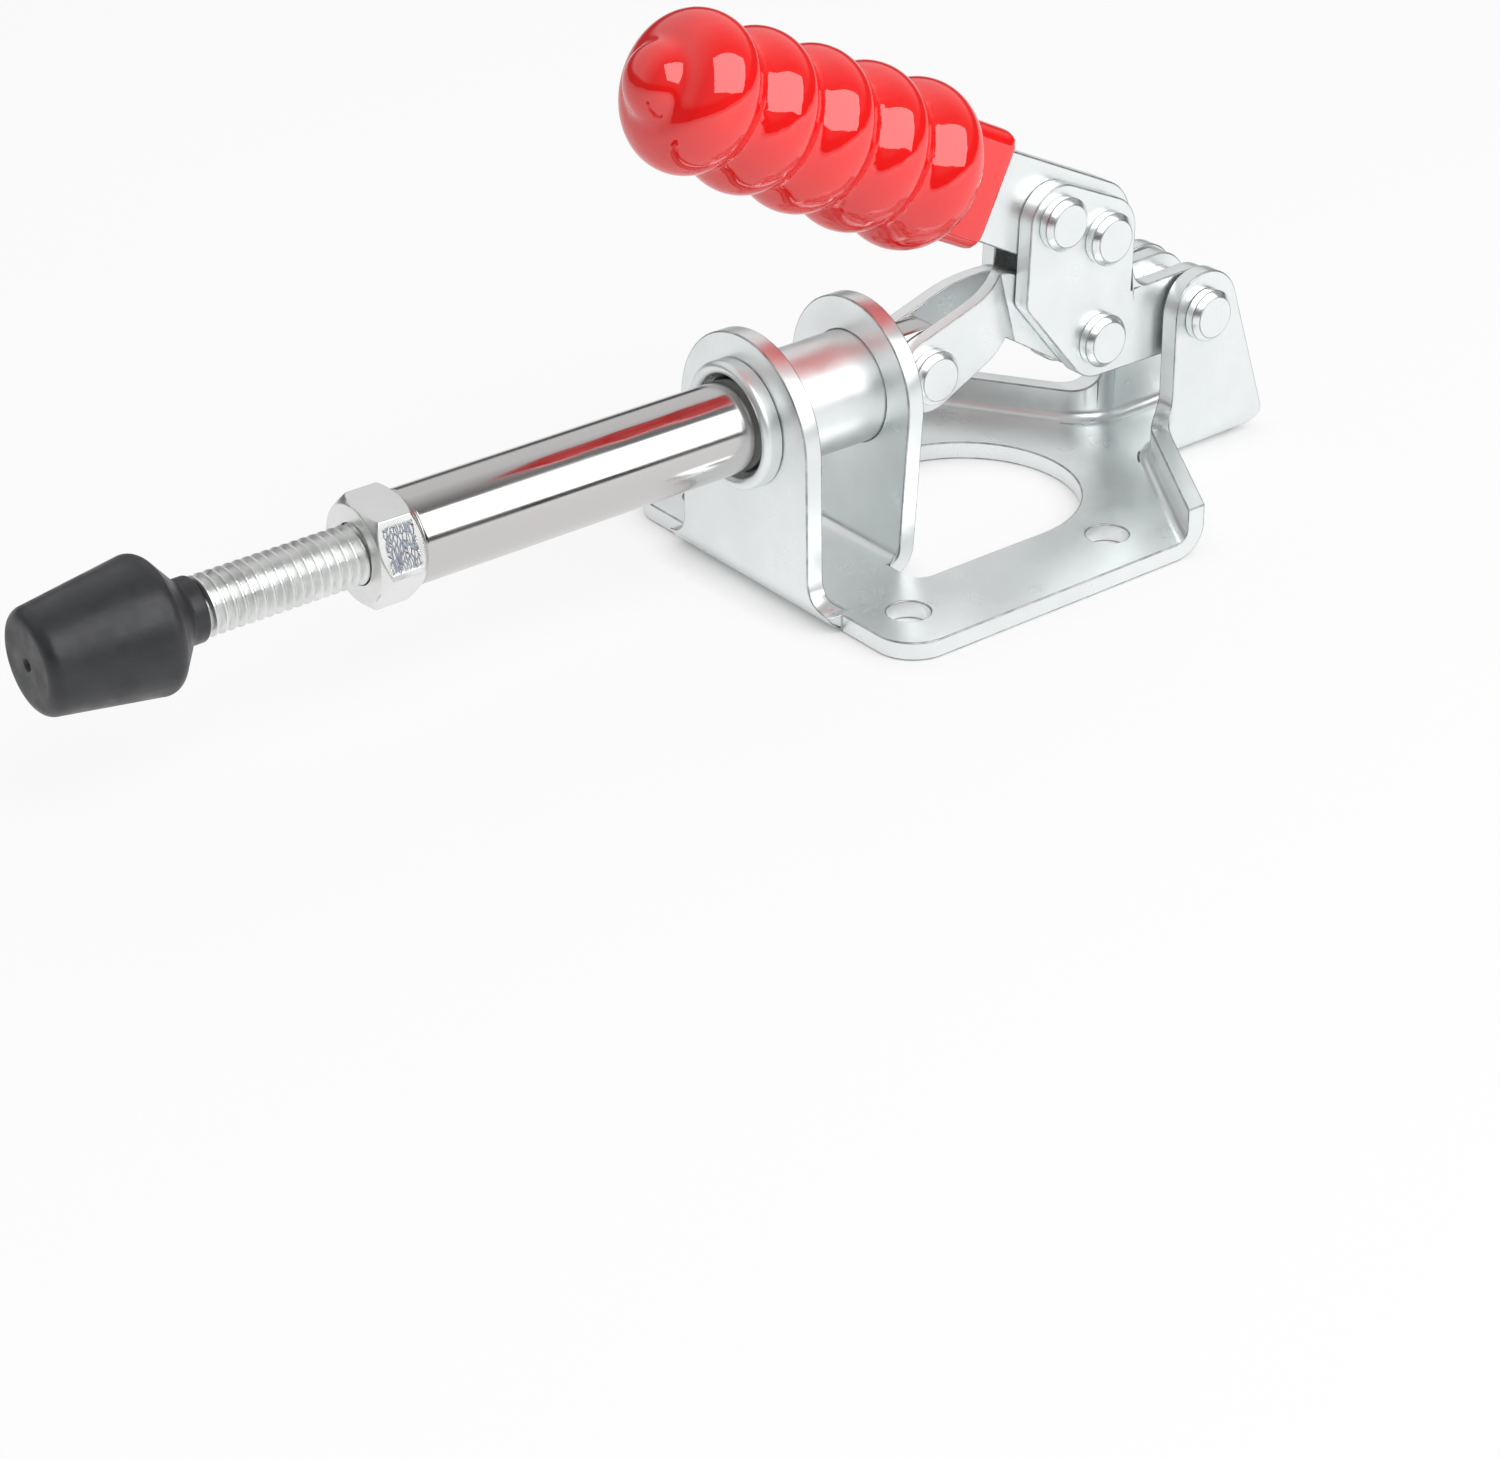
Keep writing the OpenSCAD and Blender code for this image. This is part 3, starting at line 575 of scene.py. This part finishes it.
class CLAMP_OT_grip(bpy.types.Operator):
    """Dip the handle's grip: one skin that flows into the valleys between the bulges"""
    bl_idname = "clamp.grip"
    bl_label = "Grip"

    def execute(self, context):
        sizes = context.scene.clamp_sizes
        grip = rounded_copy("grip", "handle", grip_vinyl(), sizes.collar_round,
                            segments=1, angle=35.0)
        grip.modifiers.clear()
        skin = grip.modifiers.new("Skin", "REMESH")
        skin.mode = "VOXEL"
        skin.voxel_size = sizes.skin_step
        skin.use_smooth_shade = True
        flow = grip.modifiers.new("Flow", "SMOOTH")
        flow.factor = 0.5
        flow.iterations = sizes.skin_flow
        return {"FINISHED"}


# Floor, light and camera

def softbox(width, height, distance, power):
    """A large lamp in front of the clamp and above it, whose width runs along level"""
    aim = Vector((-0.01, 0.0, 0.03))
    facing = Vector((0.136, -0.72, 0.68)).normalized()
    level = Vector((0.95, -0.13, -0.33))
    up = facing.cross(level).normalized()
    lamp = bpy.data.lights.new("softbox", "AREA")
    lamp.shape = "RECTANGLE"
    lamp.size, lamp.size_y = width, height
    lamp.energy = power
    light = bpy.data.objects.new("softbox", lamp)
    bpy.context.scene.collection.objects.link(light)
    light.location = aim + distance * facing
    light.rotation_mode = "QUATERNION"
    light.rotation_quaternion = Matrix((up.cross(facing), up, facing)).transposed().to_quaternion()


def room_light(strength):
    """A pale wall behind, a dim one in front and a dark skirting; the camera sees it white"""
    world = bpy.data.worlds.new("room")
    bpy.context.scene.world = world
    world.use_nodes = True
    tree = world.node_tree
    place = tree.nodes.new("ShaderNodeTexCoord")
    apart = tree.nodes.new("ShaderNodeSeparateXYZ")
    wire(tree, place.outputs["Generated"], apart.inputs["Vector"])
    walls = spread(tree, apart.outputs["Y"], low=0.20, high=0.78, start=-0.25, end=0.45)
    skirting = spread(tree, apart.outputs["Z"], low=0.13, high=1.0, start=0.20, end=0.32)
    grey = math_node(tree, "MULTIPLY", walls, skirting)
    rays = tree.nodes.new("ShaderNodeLightPath")
    mix = tree.nodes.new("ShaderNodeMix")
    mix.data_type = "RGBA"
    mix.inputs["B"].default_value = (1, 1, 1, 1)
    ground = tree.nodes["Background"]
    wire(tree, grey, mix.inputs["A"])
    wire(tree, rays.outputs["Is Camera Ray"], mix.inputs["Factor"])
    wire(tree, mix.outputs["Result"], ground.inputs["Color"])
    ground.inputs["Strength"].default_value = strength


def floor_paper(color, glow):
    """White paper that glows for the camera, so it photographs white yet keeps its shadows

    In the metal's reflections the glow fades away from the clamp and behind it.
    """
    shelter_reach = 4 * MM
    material, tree, shader = new_finish("floor_paper", color, metallic=0.0, rough=0.9)
    shader.inputs["Specular IOR Level"].default_value = 0.0
    white = tree.nodes.new("ShaderNodeEmission")
    white.inputs["Color"].default_value = (1, 1, 1, 1)
    rays = tree.nodes.new("ShaderNodeLightPath")
    place = tree.nodes.new("ShaderNodeTexCoord")
    apart = tree.nodes.new("ShaderNodeSeparateXYZ")
    wire(tree, place.outputs["Object"], apart.inputs["Vector"])
    reach = tree.nodes.new("ShaderNodeVectorMath")
    reach.operation = "LENGTH"
    wire(tree, place.outputs["Object"], reach.inputs[0])
    near = spread(tree, reach.outputs["Value"], low=1.0, high=0.30, start=0.10, end=0.35)
    front = spread(tree, apart.outputs["Y"], low=1.0, high=0.68, start=-0.01, end=0.03)
    mirrored = math_node(tree, "MULTIPLY", rays.outputs["Is Glossy Ray"],
                         math_node(tree, "MULTIPLY", near, front))
    seen = math_node(tree, "MAXIMUM", rays.outputs["Is Camera Ray"], mirrored)
    shelter = tree.nodes.new("ShaderNodeAmbientOcclusion")
    shelter.samples = 8
    shelter.inputs["Distance"].default_value = shelter_reach
    share = math_node(tree, "MULTIPLY", math_node(tree, "MULTIPLY", seen, glow),
                      shelter.outputs["AO"])
    mix = tree.nodes.new("ShaderNodeMixShader")
    out = tree.nodes["Material Output"]
    wire(tree, share, mix.inputs["Fac"])
    wire(tree, shader.outputs["BSDF"], mix.inputs[1])
    wire(tree, white.outputs["Emission"], mix.inputs[2])
    wire(tree, mix.outputs["Shader"], out.inputs["Surface"])
    return material


def pale_floor(material):
    """A flat sheet, just under the base so that the two faces don't meet"""
    half_width, drop = 6.0, 0.05 * MM
    bm = bmesh.new()
    bmesh.ops.create_grid(bm, x_segments=1, y_segments=1, size=half_width)
    bmesh.ops.translate(bm, verts=bm.verts, vec=(0, 0, -drop))
    mesh = bpy.data.meshes.new("floor")
    bm.to_mesh(mesh)
    bm.free()
    floor = bpy.data.objects.new("floor", mesh)
    bpy.context.scene.collection.objects.link(floor)
    floor.data.materials.append(material)


def camera_as_photographed(lens):
    """The camera that was fitted to the photograph, with no shift"""
    place = Vector((-209.69, -249.70, 163.75)) * MM
    azimuth, elevation, roll = (math.radians(a) for a in (-37.098, 29.945, -1.134))
    back = Vector((math.sin(azimuth) * math.cos(elevation),
                   -math.cos(azimuth) * math.cos(elevation), math.sin(elevation)))
    right = Vector((math.cos(azimuth), math.sin(azimuth), 0.0))
    up = back.cross(right)
    right, up = (right * math.cos(roll) + up * math.sin(roll),
                 up * math.cos(roll) - right * math.sin(roll))
    data = bpy.data.cameras.new("camera")
    data.lens = lens
    data.sensor_width = 36.0
    data.clip_start, data.clip_end = 0.01, 20.0
    camera = bpy.data.objects.new("camera", data)
    bpy.context.scene.collection.objects.link(camera)
    camera.location = place
    camera.rotation_mode = "QUATERNION"
    camera.rotation_quaternion = Matrix((right, up, back)).transposed().to_quaternion()
    bpy.context.scene.camera = camera


class CLAMP_OT_stage(bpy.types.Operator):
    """Lay the floor, set the lights and place the camera"""
    bl_idname = "clamp.stage"
    bl_label = "Floor, light and camera"

    def execute(self, context):
        stage = context.scene.clamp_stage
        context.scene.view_settings.view_transform = "Standard"
        pale_floor(floor_paper(tuple(stage.floor_color), stage.floor_glow))
        softbox(stage.softbox_width, stage.softbox_height, stage.softbox_distance,
                stage.softbox_power)
        room_light(stage.room_strength)
        camera_as_photographed(stage.camera_lens)
        return {"FINISHED"}


OPERATORS = (CLAMP_OT_plates, CLAMP_OT_rivets, CLAMP_OT_plunger, CLAMP_OT_spindle,
             CLAMP_OT_cap, CLAMP_OT_grip, CLAMP_OT_stage)


class CLAMP_PT_panel(bpy.types.Panel):
    """Lists the steps and the sizes, finishes and lights that they read"""
    bl_label = "Toggle clamp"
    bl_idname = "CLAMP_PT_panel"
    bl_space_type = "VIEW_3D"
    bl_region_type = "UI"
    bl_category = "Clamp"

    def draw(self, context):
        for operator in OPERATORS:
            self.layout.operator(operator.bl_idname)
        for group in (context.scene.clamp_sizes, context.scene.clamp_finish,
                      context.scene.clamp_stage):
            box = self.layout.box()
            for name in group.__annotations__:
                box.prop(group, name)


CLASSES = (ClampSizes, ClampFinish, ClampStage, *OPERATORS, CLAMP_PT_panel)


def register():
    for cls in CLASSES:
        bpy.utils.register_class(cls)
    bpy.types.Scene.clamp_sizes = PointerProperty(type=ClampSizes)
    bpy.types.Scene.clamp_finish = PointerProperty(type=ClampFinish)
    bpy.types.Scene.clamp_stage = PointerProperty(type=ClampStage)


def unregister():
    del bpy.types.Scene.clamp_sizes
    del bpy.types.Scene.clamp_finish
    del bpy.types.Scene.clamp_stage
    for cls in reversed(CLASSES):
        bpy.utils.unregister_class(cls)


def main():
    """Run the steps in order"""
    register()
    for operator in OPERATORS:
        group, name = operator.bl_idname.split(".")
        getattr(getattr(bpy.ops, group), name)()
    bpy.context.view_layer.update()


if __name__ == "__main__":
    main()
